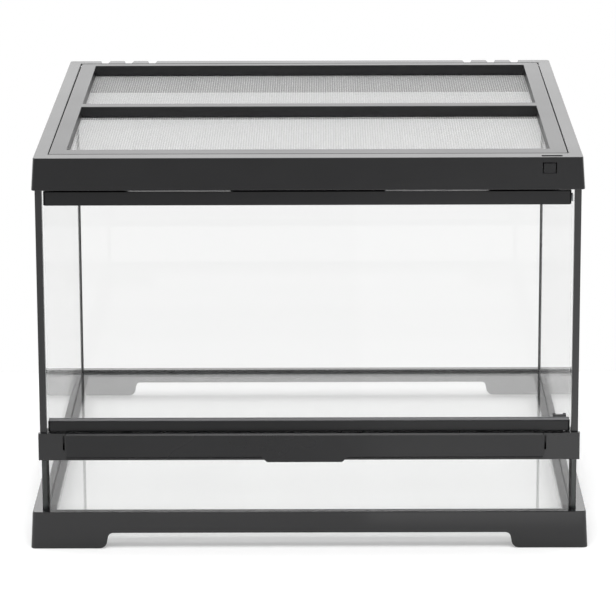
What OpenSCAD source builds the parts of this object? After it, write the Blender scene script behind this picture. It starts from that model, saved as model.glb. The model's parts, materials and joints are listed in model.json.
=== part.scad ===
// Front-opening glass terrarium: a glued glass box on a moulded base, with a
// side-hung door over a vent strip, and a hinged screen cover in the top frame.
// Millimetres. X runs to the right, Y to the back, Z up. The origin is the
// centre of the base's footprint, on the surface it stands on.

/* [Glass box] */
// Width of the glass box over its side panes
glass_w = 454; // [380:1:700]
// Depth of the glass box over its front and back panes
glass_d = 454; // [380:1:700]
// Thickness of the wall panes and the door's pane
pane_t = 4; // [3:0.5:5]
// Thickness of the floor pane
floor_t = 5; // [4:0.5:8]
// Height of the wall panes
pane_h = 296.5; // [240:0.5:600]
// Height of the low front pane
front_pane_h = 57.5; // [40:0.5:120]
// Thickness of a sealant joint between two panes
joint_t = 0.8; // [0.5:0.1:1.5]
// Size of the sealant bead in the front corners
bead = 2; // [1:0.1:5]
// Size of the sealant bead in the back corners
back_bead = 1.3; // [0.8:0.1:4]
// Size of the thin line of sealant round the floor
floor_bead = 0.6; // [0.4:0.1:4]

/* [Base] */
// Height of the base's skirt
skirt_h = 32; // [28:0.5:50]
// Height of the ledge that carries the panes
ledge_z = 24.5; // [18:0.5:26]
// How far the skirt's top edge stands out from the panes
skirt_out = 8.3; // [6:0.1:14]
// How much further out the skirt's foot stands
skirt_draft = 1.7; // [0:0.1:4]
// Wall of the base moulding
skirt_t = 3; // [2:0.1:4]
// Radius of the skirt's upright corners
skirt_corner = 4; // [2:0.5:6]
// How far the ledge reaches in under the floor pane
ledge_in = 11; // [5:0.1:20]
// Width of the arch in the front and the back
arch_w = 343; // [200:1:360]
// Height of the arch
arch_h = 13.5; // [6:0.5:15]
// Radius of the arch's upper corners
arch_r = 4.6; // [1:0.1:6]
// Radius of the feet's lower corners beside the arch
foot_r = 6.7; // [1:0.1:8]
// How far the arch's ends lean, top to bottom
arch_lean = 0.5; // [0:0.1:4]
// Spacing of the ribs inside the skirt
rib_pitch = 75; // [50:1:120]

/* [Posts] */
// Width of a post, over the pane's edge
post_w = 5.6; // [5.2:0.1:8]
// Thickness of a post in front of the pane's edge
post_web = 1.3; // [0.8:0.1:3]
// How far a post reaches back along its pane
post_d = 8; // [5:0.5:14]

/* [Vent strip] */
// Height of the strip's lower edge over the low pane's ledge
strip_z = 76.4; // [70:0.1:120]
// Height of the strip
strip_h = 23.8; // [22:0.1:30]
// How far the strip's face stands in front of the panes
strip_out = 3.8; // [3.4:0.1:6]
// Depth of the strip's channel
strip_d = 18; // [16:0.5:30]
// Wall of the strip
strip_t = 2.4; // [1.8:0.1:2.8]
// Thickness of the perforated strip over the air slots
vent_screen_t = 0.6; // [0.4:0.1:1]
// Length of one air slot
vent_slot_w = 24; // [10:1:40]
// Spacing of the air slots
vent_pitch = 30; // [26:1:60]

/* [Latch bar] */
// Distance of the latch bar's ends from the glass box's sides, on average
bar_side = 24; // [23.5:0.5:40]
// How far the bar's middle lies left of the strip's middle
bar_left = 3.8; // [0:0.1:4]
// Height of the bar
bar_h = 21.7; // [21:0.1:24]
// Thickness of the bar
bar_t = 2.5; // [2:0.1:4]
// Width of the bevel round the bar's face
bar_bevel = 1.4; // [0.5:0.1:1.8]
// Radius of the bar's corners
bar_r = 3.2; // [2:0.1:5]
// Length of the finger tab's lower edge
grip_w = 63; // [30:1:90]
// How far the finger tab hangs under the bar
grip_h = 3.5; // [1:0.1:5]
// How far the bar slides down
bar_travel = 3; // [2:0.1:3.4]
// Distance of the two catch arms from the bar's middle
catch_x = 150; // [60:1:175]
// Width of a catch arm
catch_w = 8; // [4:0.5:14]

/* [Door] */
// Gap between the door and a post
door_gap = 1.2; // [1:0.1:3]
// Thickness of the door's rails, front to back
rail_d = 9; // [8:0.5:10]
// Height of the door's bottom rail
low_rail_h = 8.9; // [8.9:0.1:16]
// Height of the door's top rail
top_rail_h = 11.7; // [9:0.1:16]
// Gap between the door and the strip below it
door_low_gap = 0.7; // [0.7:0.1:1.5]
// Gap between the door and the fascia above it
door_top_gap = 1.7; // [1:0.1:3]
// Distance of the hinge axis from the door's right edge
axis_in = 7.2; // [6:0.1:7.6]
// Radius of the rails' ends at the hinge
rail_end_r = 3; // [2:0.1:4]
// Radius of the hinge pins
pin_r = 2; // [1.5:0.1:2.5]
// How far the lower hinge pin reaches into the strip
pin_bite = 2.8; // [2:0.1:3]
// How far the slider lifts the lower hinge pin
pin_travel = 3.2; // [3.1:0.1:3.3]

/* [Top frame] */
// Height of the frame's top over the panes' top edges
frame_rise = 16.5; // [15:0.1:25]
// Height of the fascia
fascia_h = 27.2; // [24:0.1:45]
// How far the fascia's top edge stands out from the panes
fascia_out = 1.8; // [1.4:0.1:5]
// How much further out the fascia's lower edge stands
fascia_draft = 1.8; // [0:0.1:3]
// Wall of the frame moulding
frame_t = 2.6; // [2:0.1:3]
// Radius of the fascia's upright corners
fascia_corner = 3.2; // [2:0.1:6]
// Width of the side rails' top face
side_rail = 11.1; // [10:0.1:16]
// Width of the front rail's top face
front_rail = 16.7; // [15:0.1:24]
// Width of the back rail's top face
back_rail = 14.1; // [14:0.1:20]
// How far the ledge under the cover reaches in
cover_ledge = 5.7; // [4:0.1:10]
// Length of each light gap over the door
light_gap_w = 86.4; // [40:1:120]
// Distance of each light gap's middle from the frame's middle
light_gap_x = 107.8; // [80:1:130]

/* [Screen cover] */
// Height of the cover's frame
cover_h = 12; // [10.5:0.1:14]
// Gap round the cover
seam = 0.8; // [0.5:0.1:1.2]
// Width of the cover's side members
cover_side = 13.9; // [13:0.1:20]
// Width of the cover's front member
cover_front = 18.5; // [14:0.1:26]
// Width of the cover's back member
cover_back = 11.4; // [11:0.1:20]
// Width of the cross bar between the windows
cross_w = 15; // [12:0.5:30]
// Depth of the mesh under the cover's top face
mesh_drop = 9.6; // [7:0.1:9.8]
// Thickness of the mesh
mesh_t = 0.8; // [0.5:0.1:1]
// How far the mesh reaches past its window
mesh_lap = 4; // [3:0.1:5]
// Radius of the cover's hinge pins
cover_pin_r = 1; // [0.8:0.1:1.2]

/* [Release tab] */
// Distance of the tab's middle from the frame's side
tab_side = 27.9; // [26:0.1:80]
// Width of the tab's opening
tab_w = 11.8; // [8:0.1:14]
// Height of the tab's opening
tab_h = 9.2; // [7:0.1:10]
// Height of the tab's opening over the fascia's lower edge
tab_z = 13.6; // [11:0.1:14]
// Width of the slit round the tab
tab_slit = 0.9; // [0.6:0.1:1.2]
// Length of the slot in the front rail's top
catch_slot_w = 17.3; // [10:0.1:18]
// Width of the slot in the front rail's top
catch_slot_d = 5; // [3:0.1:5]

/* [Cable inlets] */
// Number of notches at each back corner
notch_n = 3; // [1:1:3]
// Spacing of the notches
notch_pitch = 22.4; // [20:0.1:23]
// Distance of the outermost notch from the frame's side
notch_side = 33.8; // [33:0.1:60]
// Width of a notch at the back edge
notch_w = 9.4; // [7:0.1:10]
// Width of a notch at its inner end
notch_in_w = 5.8; // [5:0.1:7]
// Depth of a notch below the frame's top
notch_h = 8.5; // [7:0.1:9]

/* [Fits] */
// Running clearance of a pin in its bore
pin_fit = 0.05; // [0.03:0.01:0.08]
// Clearance of a pin in the bore that grips it
grip_fit = 0.02; // [0.01:0.01:0.03]
// Clearance between pieces that move past each other
play = 0.3; // [0.3:0.05:0.5]

/* [Hidden] */
$fn = 48;
EPS = 0.01;
FAR = 900;
SLIP = 0.2;

// Colours
BLACK = [0.17, 0.17, 0.18];
GREY = [0.55, 0.56, 0.57];
STEEL = [0.72, 0.73, 0.74];
MESH = [0.6, 0.61, 0.61];
SILICONE = [0.08, 0.08, 0.08];
GLASS = [0.82, 0.92, 0.9, 0.35];

// Glass box
gx = glass_w / 2;
gy = glass_d / 2;
in_x = gx - pane_t;
in_y = gy - pane_t;
floor_top = ledge_z + floor_t;
pane_top = ledge_z + pane_h;
front_pane_top = ledge_z + front_pane_h;

// Base
ledge_t = 3;
lip_h = 3.5;
lip_t = 2.2;
rib_t = 2.2;
rib_z = arch_h + 1.5;
pocket_t = 2.5;
skirt_top_x = gx + skirt_out;
skirt_top_y = gy + skirt_out;
foot_x = skirt_top_x + skirt_draft;
foot_y = skirt_top_y + skirt_draft;

// Top frame
frame_top = pane_top + frame_rise;
fascia_z = frame_top - fascia_h;
frame_x = gx + fascia_out;
frame_y = gy + fascia_out;
well_x = frame_x - side_rail;
well_front = -frame_y + front_rail;
well_back = frame_y - back_rail;
inner_x = well_x - cover_ledge;
inner_front = well_front + cover_ledge;
inner_back = well_back - cover_ledge;
plate_t = 3;
frame_inner_t = 2.2;
slim_t = 1.7;
cover_z = frame_top - cover_h;
well_z = cover_z - play;
cavity_top = frame_top - plate_t;

// Vent strip
strip_face = -gy - strip_out;
strip_back = strip_face + strip_d;
strip_top = strip_z + strip_h;
strip_end = gx + 2.3;
strip_wall_in = strip_face + 2.6;
chamber_z = front_pane_top + 1.8;
pad = 5;
bump_w = 1.8;
intake_h = 6;
outlet_edge = 2.5;
outlets = floor((in_x - 14) / vent_pitch);
screen_x = in_x - 8;
chamber_top = strip_top - strip_t;
chamber_back = strip_back - strip_t;
pane_slack = 0.1;

// Posts
post_out = gx + 0.8;
post_in = post_out - post_w;
post_face = -gy - post_web;

// Door
door_x = post_in - door_gap;
door_front = post_face + 1;
door_back = door_front + rail_d;
door_mid = (door_front + door_back) / 2;
door_z = strip_top + door_low_gap;
bump_h = door_low_gap - play;
low_rail_top = door_z + low_rail_h;
door_top = fascia_z - door_top_gap;
top_rail_z = door_top - top_rail_h;
pane_mid = door_mid + 0.8;
seal_t = 1;
seal_h = 1.3;
pane_bite_low = low_rail_h - 7.4;
pane_bite_top = 3.2;
door_pane_z = low_rail_top - pane_bite_low;
door_pane_top = top_rail_z + pane_bite_top;
door_pane_x = door_x - 0.6;
axis_x = door_x - axis_in;
cap_t = 1.5;
cap_w = 5.8;
cap_h = 5.9;
cap_up = 2.5;

// Hinge pins and slider
low_pin_z = strip_top - pin_bite;
foot_z = door_z + 1.9;
foot_t = 1.5;
room_z = door_z + 1.6;
room_top = foot_z + foot_t + pin_travel + play;
room_x0 = axis_x - 5.5;
room_x1 = axis_x + 5.5;
slider_x0 = axis_x - 6.8;
slider_x1 = axis_x + 4.6;
slider_y0 = door_back + play;
slider_y1 = slider_y0 + 4.4;
slider_step = 2.6;
thumb_z = low_rail_top - 1.2;
thumb_h = 2.7;
thumb_d = 3;
ear_w = 2.6;
ear_h = 0.9;
ear_t = 1;
top_pin_h = 9.5;
top_pin_z = door_top - 5.6;
boss_z = door_top + 0.6;
boss_h = 8;
boss_d = 4.7;
stop_gap = 11;
stop_h = 5;
stop_t = 2;
light_gap_h = 8;

// Latch bar
bar_w = glass_w - 2 * bar_side;
bar_x = -bar_left;
bar_back = strip_face - play;
bar_front = bar_back - bar_t;
bar_top = strip_top + 0.2;
bar_z = bar_top - bar_h;
shoulder_w = 5.2;
stem_w = 4.3;
stem_h = 8.4;
stem_top = chamber_top - 0.5;
stem_in = 0.9 + stem_w / 2;
slot_w = 7.8;
slot_top = stem_top + 0.6;
slot_z = stem_top - stem_h - bar_travel - 0.5;
slot_over = 1.7;
clip_w = 11;
clip_t = 2.4;
clip_h = 6.4;
clip_y0 = strip_wall_in + play;
clip_y1 = clip_y0 + clip_t;
screw_r = 0.9;
screw_l = 3;
head_r = 1.9;
head_h = 1.1;
coil_r = 1.9;
coil_wire = 0.5;
grip_room = 6;
catch_t = 2.5;
catch_room = 0.6;
catch_y0 = door_mid - 0.7;
catch_y1 = catch_y0 + catch_t;
catch_low = strip_top - 11.7;
arm_h = 3;
catch_top = door_z - play;
pocket_h = 1.4;

// Screen cover
cover_x = well_x - seam;
cover_y0 = well_front + seam;
cover_y1 = well_back - seam - 0.3;
win_x = cover_x - cover_side;
win_y0 = cover_y0 + cover_front;
win_y3 = cover_y1 - cover_back;
win_d = (win_y3 - win_y0 - cross_w) / 2;
win_y1 = win_y0 + win_d;
win_y2 = win_y3 - win_d;
mesh_top = frame_top - mesh_drop;
mesh_z = mesh_top - mesh_t;
cover_corner = 3;
cover_wall = 1.8;
win_r = 1;
heel = 1;
nose_room = 1.2;
cover_axis_y = cover_y1 - 2.2;
cover_axis_z = frame_top - 2.7;
cover_pin_in = 10.9;
cover_pin_out = 4.5;

// Release tab
tab_x = frame_x - tab_side;
tab_z0 = fascia_z + tab_z;
tab_z1 = tab_z0 + tab_h;
nose_y = well_front - slim_t + 0.2;
slot_x0 = tab_x - tab_w / 2 - 0.6;
slot_y0 = -frame_y + 3.2;
nose_t = 1.4;

// Cable inlets
notch_x = frame_x - notch_side - (notch_n - 1) * notch_pitch;
gate_top = cavity_top - play;
gate_t = 1.8;
gate_y0 = well_back + slim_t + 0.4;
gate_y1 = frame_y - frame_t - 0.4;
gate_travel = notch_pitch / 2;
gate_x0 = notch_x - notch_w;
gate_x1 = notch_x + (notch_n - 1) * notch_pitch + gate_travel + notch_w / 2 + 0.5;
sill_top = pane_top + 2.7;
shelf_d = 2.2;
shelf_t = 1.8;
grip_in = 8;
notch_z = frame_top - notch_h;
comb_w = 7.6;

// ---- shapes -------------------------------------------------------------

// Box between two corners
module block(a, b) translate(a) cube(b - a);

// Extrudes an outline drawn in (Y, Z) along X
module along_x(x0, x1) translate([x0, 0, 0]) rotate([90, 0, 90]) linear_extrude(x1 - x0) children();

// Extrudes an outline drawn in (X, Z) along Y
module along_y(y0, y1) translate([0, y1, 0]) rotate([90, 0, 0]) linear_extrude(y1 - y0) children();

// Distance from the middle to the plane that faces angle a, on a rectangle with rounded corners
function reach(hx, hy, r, a) = (hx - r) * abs(cos(a)) + (hy - r) * abs(sin(a)) + r;

// Rectangular frustum, from half sizes a at z0 to half sizes b at z1
module frustum(a, b, z0, z1) {
  intersection() {
    along_y(-FAR, FAR) polygon([[-a[0], z0], [a[0], z0], [b[0], z1], [-b[0], z1]]);
    along_x(-FAR, FAR) polygon([[-a[1], z0], [a[1], z0], [b[1], z1], [-b[1], z1]]);
  }
}

// Frustum with faceted round corners of radius r
module rounded_draft(a, b, z0, z1, r) {
  intersection() {
    frustum(a, b, z0, z1);
    turned(a, b, z0, z1, r, 22.5);
    turned(a, b, z0, z1, r, 45);
    turned(a, b, z0, z1, r, 67.5);
  }
}

// Frustum turned about Z, whose faces bound the corners' facets
module turned(a, b, z0, z1, r, turn)
  rotate([0, 0, turn]) frustum(
    [reach(a[0], a[1], r, turn), reach(a[0], a[1], r, turn + 90)],
    [reach(b[0], b[1], r, turn), reach(b[0], b[1], r, turn + 90)], z0, z1);

// Points of an arc about c from angle a0 to a1
function arc(c, r, a0, a1, n = 6) = [for (i = [0:n]) let (a = a0 + (a1 - a0) * i / n) c + r * [cos(a), sin(a)]];

// Outline of a rectangle with round corners
function round_rect(x0, y0, x1, y1, r) = concat(
  arc([x1 - r, y1 - r], r, 0, 90), arc([x0 + r, y1 - r], r, 90, 180),
  arc([x0 + r, y0 + r], r, 180, 270), arc([x1 - r, y0 + r], r, 270, 360));

// Plate with round corners in plan
module slab(x0, y0, x1, y1, z0, z1, r)
  translate([0, 0, z0]) linear_extrude(z1 - z0) polygon(round_rect(x0, y0, x1, y1, r));

// Rectangular ring between outer and inner half sizes
module ring(out, in, z0, z1) {
  difference() {
    block([-out[0], -out[1], z0], [out[0], out[1], z1]);
    block([-in[0], -in[1], z0 - 1], [in[0], in[1], z1 + 1]);
  }
}

// The same piece on both sides
module both() {
  children();
  mirror([1, 0, 0]) children();
}

// ---- glass box ----------------------------------------------------------

module base_frame() color(BLACK) {
  under = skirt_h - skirt_t;
  difference() {
    union() {
      difference() {
        rounded_draft([foot_x, foot_y], [skirt_top_x, skirt_top_y], 0, skirt_h, skirt_corner);
        skirt_hollow(under);
      }
      intersection() {
        rounded_draft([foot_x, foot_y], [skirt_top_x, skirt_top_y], 0, skirt_h, skirt_corner);
        skirt_ribs();
      }
      ring([gx + pocket_t, gy + pocket_t], [gx, gy], ledge_z - ledge_t, skirt_h);
      ring([gx + pocket_t, gy + pocket_t], [gx - ledge_in, gy - ledge_in], ledge_z - ledge_t, ledge_z);
      ring([gx - ledge_in + lip_t, gy - ledge_in + lip_t], [gx - ledge_in, gy - ledge_in],
        ledge_z - ledge_t - lip_h, ledge_z);
    }
    block([-gx, -gy, ledge_z], [gx, gy, skirt_h + 1]);
    arch(-foot_y - 1, -gy - pocket_t);
    arch(gy + pocket_t, foot_y + 1);
  }
}

// Room inside the skirt, up to height z
module skirt_hollow(z) {
  lean = skirt_draft / skirt_h;
  rounded_draft(
    [foot_x - skirt_t + lean, foot_y - skirt_t + lean],
    [foot_x - skirt_t - lean * z, foot_y - skirt_t - lean * z], -1, z, skirt_corner - 1.5);
}

// Ribs that tie the skirt to the wall round the panes
module skirt_ribs() {
  for (x = [-2 * rib_pitch:rib_pitch:2 * rib_pitch], turn = [0, 180]) rotate([0, 0, turn]) {
    block([x - rib_t / 2, gy + 1, rib_z], [x + rib_t / 2, foot_y, skirt_h - 1]);
    block([gx + 1, x - rib_t / 2, rib_z], [foot_x, x + rib_t / 2, skirt_h - 1]);
  }
}

// Low opening through one wall of the skirt. Its corners shrink together where it is too low for both.
module arch(y0, y1) {
  low = arch_w / 2 + arch_lean;
  top = arch_w / 2;
  fit = min(1, arch_h / (arch_r + foot_r));
  top_r = arch_r * fit;
  low_r = foot_r * fit;
  right = concat(
    arc([low + low_r, low_r], low_r, 270, 180),
    arc([top - top_r, arch_h - top_r], top_r, 0, 90));
  along_y(y0, y1) polygon(concat([[low + low_r, -1]], right,
    [for (i = [len(right) - 1:-1:0]) [-right[i][0], right[i][1]]], [[-low - low_r, -1]]));
}

module floor_glass() color(GLASS) block([-in_x, -in_y, ledge_z], [in_x, in_y, floor_top]);

module back_glass() color(GLASS) block([-gx, in_y, ledge_z], [gx, gy, pane_top]);

module right_glass() color(GLASS) block([in_x, -gy, ledge_z], [gx, in_y - joint_t, pane_top]);

module left_glass() mirror([1, 0, 0]) right_glass();

module front_glass() color(GLASS)
  block([-in_x + joint_t, -gy, ledge_z], [in_x - joint_t, -in_y, front_pane_top]);

// Outline of a bead of size r with a hollow face, its corner at the origin
function bead_face(r) = concat([[0, 0]], arc([r, r], r, 270, 180, 5));

module glass_sealant() color(SILICONE) {
  both() {
    block([in_x, in_y - joint_t, ledge_z], [gx, in_y, pane_top]);
    block([in_x - joint_t, -gy, ledge_z], [in_x, -in_y, front_pane_top]);
    difference() {
      union() {
        translate([in_x, -in_y, floor_top]) mirror([1, 0, 0])
          linear_extrude(strip_z - floor_top) polygon(bead_face(bead));
        translate([in_x, in_y, floor_top]) mirror([1, 0, 0]) mirror([0, 1, 0])
          linear_extrude(fascia_z - floor_top) polygon(bead_face(back_bead));
        translate([in_x, 0, floor_top]) mirror([1, 0, 0]) rotate([90, 0, 0])
          translate([0, 0, -in_y]) linear_extrude(2 * in_y) polygon(bead_face(floor_bead));
        translate([0, -in_y, floor_top]) rotate([90, 0, 90]) linear_extrude(in_x) polygon(bead_face(floor_bead));
        translate([0, in_y, floor_top]) mirror([0, 1, 0])
          rotate([90, 0, 90]) linear_extrude(in_x) polygon(bead_face(floor_bead));
      }
      block([-EPS, -gy, 0], [0, gy, pane_top]);
    }
  }
}

module right_post() color(BLACK) {
  difference() {
    block([post_in, post_face, strip_top], [post_out, post_face + post_d, fascia_z]);
    block([in_x, -gy, strip_top - 1], [gx, FAR, fascia_z + 1]);
  }
}

module left_post() mirror([1, 0, 0]) right_post();

// ---- vent strip and latch bar -------------------------------------------

module vent_strip() color(BLACK) {
  difference() {
    union() {
      difference() {
        union() {
          block([-strip_end, strip_face, strip_z], [strip_end, -gy, strip_top]);
          block([-in_x, -gy - 1, strip_z], [in_x, strip_back, strip_top]);
        }
        block([-in_x + strip_t, strip_wall_in, chamber_z], [in_x - strip_t, chamber_back, chamber_top]);
      }
      block([axis_x - pad, strip_wall_in, chamber_z - 1], [axis_x + pad, door_mid + pad, strip_top]);
      bump();
    }
    block([-in_x, -gy - pane_slack, strip_z - 1], [in_x, -in_y + pane_slack, front_pane_top + pane_slack]);
    translate([axis_x, door_mid, low_pin_z - 0.4]) cylinder(r = pin_r + pin_fit, h = FAR);
    latch_slots();
    intake_slots();
    outlet_windows();
  }
}

// Small raised mark in front of the hinge
module bump() along_y(strip_face, strip_face + 2.4)
  polygon([[axis_x - bump_w, strip_top - 1], [axis_x - bump_w, strip_top],
    [axis_x + bump_w - 1, strip_top + bump_h], [axis_x + bump_w, strip_top + bump_h],
    [axis_x + bump_w, strip_top - 1]]);

// Slots that the latch bar's stems and catch arms pass through
module latch_slots() {
  for (side = [-1, 1]) {
    end = bar_x + side * bar_w / 2;
    near = end + side * slot_over;
    far = near - side * slot_w;
    block([min(near, far), strip_face - 1, slot_z], [max(near, far), strip_wall_in + EPS, slot_top]);
    x = bar_x + side * catch_x;
    room = catch_w / 2 + catch_room;
    block([x - room, strip_face - 1, catch_low - bar_travel - catch_room],
      [x + room, strip_wall_in + EPS, catch_low + arm_h + catch_room]);
    block([x - room, catch_y0 - catch_room, chamber_top - EPS],
      [x + room, catch_y1 + catch_room, strip_top + 1]);
  }
}

// Air slots in the strip's face, behind the latch bar
module intake_slots() {
  mid_z = (chamber_z + slot_top) / 2;
  n = floor((catch_x - catch_w / 2 - vent_slot_w / 2 - 4) / vent_pitch - 0.5);
  for (i = [-n - 1:n]) translate([bar_x + (i + 0.5) * vent_pitch, 0, 0])
    block([-vent_slot_w / 2, strip_face - 1, mid_z - intake_h / 2],
      [vent_slot_w / 2, strip_wall_in + EPS, mid_z + intake_h / 2]);
}

// Windows in the strip's back wall, and the shallow seat for the perforated strip over them
module outlet_windows() {
  for (i = [-outlets:outlets]) translate([i * vent_pitch, 0, 0])
    block([-vent_slot_w / 2, chamber_back - EPS, chamber_z + outlet_edge],
      [vent_slot_w / 2, strip_back + 1, chamber_top - outlet_edge]);
  block([-screen_x, strip_back - vent_screen_t, chamber_z], [screen_x, strip_back + 1, chamber_top]);
}

module vent_screen() color(MESH)
  block([-screen_x + SLIP, strip_back - vent_screen_t, chamber_z + SLIP],
    [screen_x - SLIP, strip_back, chamber_top - SLIP]);

module latch_bar() color(BLACK) {
  x0 = bar_x - bar_w / 2;
  x1 = bar_x + bar_w / 2;
  slope = bar_front + bar_bevel * 0.8;
  intersection() {
    along_y(bar_front, bar_back) polygon(round_rect(x0, bar_z, x1, bar_top, bar_r));
    along_x(x0, x1) polygon([[bar_back, bar_z], [slope, bar_z], [bar_front, bar_z + bar_bevel],
      [bar_front, bar_top - bar_bevel], [slope, bar_top], [bar_back, bar_top]]);
    translate([0, 0, bar_z]) linear_extrude(bar_h) polygon([[x0, bar_back], [x0, slope],
      [x0 + bar_bevel, bar_front], [x1 - bar_bevel, bar_front], [x1, slope], [x1, bar_back]]);
  }
  along_y(bar_front, bar_back) polygon([
    [bar_x - grip_w / 2, bar_z - grip_h], [bar_x + grip_w / 2, bar_z - grip_h],
    [bar_x + grip_w / 2 + shoulder_w, bar_z + bar_bevel],
    [bar_x + grip_w / 2 + shoulder_w, bar_z + grip_room],
    [bar_x - grip_w / 2 - shoulder_w, bar_z + grip_room],
    [bar_x - grip_w / 2 - shoulder_w, bar_z + bar_bevel]]);
  for (side = [-1, 1]) {
    stem_x = stem_mid(side);
    difference() {
      block([stem_x - stem_w / 2, bar_back - EPS, stem_top - stem_h],
        [stem_x + stem_w / 2, clip_y0, stem_top]);
      translate([stem_x, clip_y0 + 1, stem_top - clip_h / 2]) rotate([90, 0, 0])
        cylinder(r = screw_r, h = screw_l + 1.2);
    }
    x = bar_x + side * catch_x;
    block([x - catch_w / 2, bar_back - EPS, catch_low], [x + catch_w / 2, catch_y1, catch_low + arm_h]);
    block([x - catch_w / 2, catch_y0, catch_low], [x + catch_w / 2, catch_y1, catch_top]);
  }
}

// Middle of the stem at one end of the bar
function stem_mid(side) = bar_x + side * (bar_w / 2 - stem_in);

module latch_clips() color(GREY)
  for (side = [-1, 1]) translate([stem_mid(side), 0, stem_top - clip_h]) difference() {
    block([-clip_w / 2, clip_y0, 0], [clip_w / 2, clip_y1, clip_h]);
    translate([0, clip_y1 + 1, clip_h / 2]) rotate([90, 0, 0])
      cylinder(r = screw_r + grip_fit, h = clip_t + 2);
  }

module latch_screws() color(STEEL)
  for (side = [-1, 1]) translate([stem_mid(side), 0, stem_top - clip_h / 2]) rotate([-90, 0, 0]) {
    translate([0, 0, clip_y0 - screw_l]) cylinder(r = screw_r - grip_fit, h = clip_t + screw_l + EPS);
    translate([0, 0, clip_y1]) cylinder(r = head_r, h = head_h);
  }

module latch_springs() color(STEEL)
  for (side = [-1, 1]) translate([stem_mid(side), clip_y0 + coil_r + SLIP, chamber_z]) difference() {
    cylinder(r = coil_r, h = stem_top - clip_h - chamber_z - SLIP);
    translate([0, 0, -1]) cylinder(r = coil_r - coil_wire, h = FAR);
  }

// ---- door ---------------------------------------------------------------

module door_glass() color(GLASS)
  block([-door_pane_x, pane_mid - pane_t / 2, door_pane_z],
    [door_pane_x, pane_mid + pane_t / 2, door_pane_top]);

// Bar with round ends at the hinge side, from x0 to x1
module rail_body(x1, z0, z1)
  slab(-door_x, door_front, x1, door_back, z0, z1, rail_end_r);

module door_top_rail() color(BLACK) {
  difference() {
    rail_body(door_x - cap_t, top_rail_z, door_top);
    block([-door_x - 1, pane_mid - pane_t / 2, top_rail_z - 1],
      [door_x + 1, pane_mid + pane_t / 2, door_pane_top]);
    translate([axis_x, door_mid, top_pin_z]) cylinder(r = pin_r + grip_fit, h = FAR);
  }
}

module top_rail_cap() color(GREY) {
  difference() {
    block([door_x - cap_t, door_mid - cap_w / 2, top_rail_z + cap_up],
      [door_x - 0.05, door_mid + cap_w / 2, top_rail_z + cap_up + cap_h]);
    block([door_x - cap_t - 1, pane_mid - pane_t / 2, top_rail_z],
      [door_x + 1, pane_mid + pane_t / 2, door_pane_top]);
  }
}

module door_bottom_rail() color(BLACK) {
  difference() {
    union() {
      rail_body(door_x, door_z, low_rail_top);
      block([-door_pane_x, pane_mid - pane_t / 2 - seal_t, low_rail_top - 1],
        [door_pane_x, pane_mid + pane_t / 2 + seal_t, low_rail_top + seal_h]);
    }
    block([-door_x - 1, pane_mid - pane_t / 2, door_pane_z],
      [door_x + 1, pane_mid + pane_t / 2, FAR]);
    block([room_x0, door_front + 1.7, room_z], [room_x1, door_back + 1, room_top]);
    translate([axis_x, door_mid, door_z - 1]) cylinder(r = pin_r + pin_fit, h = 4);
    for (side = [-1, 1]) translate([bar_x + side * catch_x, 0, 0])
      block([-catch_w / 2 - 1, catch_y0 - 1, door_z - 1], [catch_w / 2 + 1, catch_y1 + 1, door_z + pocket_h]);
  }
}

module top_hinge_pin() color(STEEL)
  translate([axis_x, door_mid, top_pin_z + 0.1]) cylinder(r = pin_r, h = top_pin_h);

module bottom_hinge_pin() color(STEEL)
  translate([axis_x, door_mid, low_pin_z]) cylinder(r = pin_r, h = foot_z + foot_t - low_pin_z);

module pin_slider() color(BLACK) {
  difference() {
    block([room_x0 + 0.7, door_front + 2.2, foot_z], [slider_x1, slider_y0 + 1, foot_z + foot_t]);
    translate([axis_x, door_mid, foot_z - 1]) cylinder(r = pin_r + grip_fit, h = 6);
  }
  thumb_y = slider_y0 + slider_step;
  block([slider_x0, slider_y0, foot_z], [slider_x1, slider_y1, thumb_z]);
  block([slider_x0, thumb_y, thumb_z - EPS], [slider_x1, thumb_y + thumb_d + ear_t, thumb_z + thumb_h]);
  for (x = [slider_x0, slider_x1 - ear_w]) translate([x, thumb_y + thumb_d, thumb_z + thumb_h - EPS])
    cube([ear_w, ear_t, ear_h + EPS]);
}

// ---- top frame ----------------------------------------------------------

module top_frame() color(BLACK) {
  difference() {
    union() {
      difference() {
        rounded_draft([frame_x + fascia_draft, frame_y + fascia_draft], [frame_x, frame_y],
          fascia_z, frame_top, fascia_corner);
        side_hollows();
        back_hollow();
        front_hollow();
      }
      door_stop();
      pin_boss();
      gate_rests();
    }
    block([-well_x, well_front, well_z], [well_x, well_back, FAR]);
    block([-inner_x, inner_front, 0], [inner_x, inner_back, FAR]);
    for (side = [-1, 1]) light_gap(side * light_gap_x);
    tab_opening();
    for (side = [-1, 1], i = [0:notch_n - 1]) cable_notch(side * (notch_x + i * notch_pitch));
    both() translate([well_x - 1, cover_axis_y, cover_axis_z]) rotate([0, 90, 0])
      cylinder(r = cover_pin_r + pin_fit, h = cover_pin_out + 1.2);
    translate([axis_x, door_mid, boss_z - 1])
      cylinder(r = pin_r + pin_fit, h = top_pin_z + top_pin_h - boss_z + 1.5);
  }
}

// Room inside the side rails: the pane's groove, the space over it and the space behind the inner wall
module side_hollows() {
  both() {
    block([in_x, -gy, fascia_z - 1], [gx, gy, pane_top]);
    block([in_x - 3, -frame_y + 30, pane_top - EPS], [gx - 0.4, cover_axis_y - 12, cavity_top]);
    block([inner_x + frame_inner_t, inner_front - frame_inner_t, fascia_z - 1],
      [in_x - 2, inner_back, well_z - plate_t]);
  }
}

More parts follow.
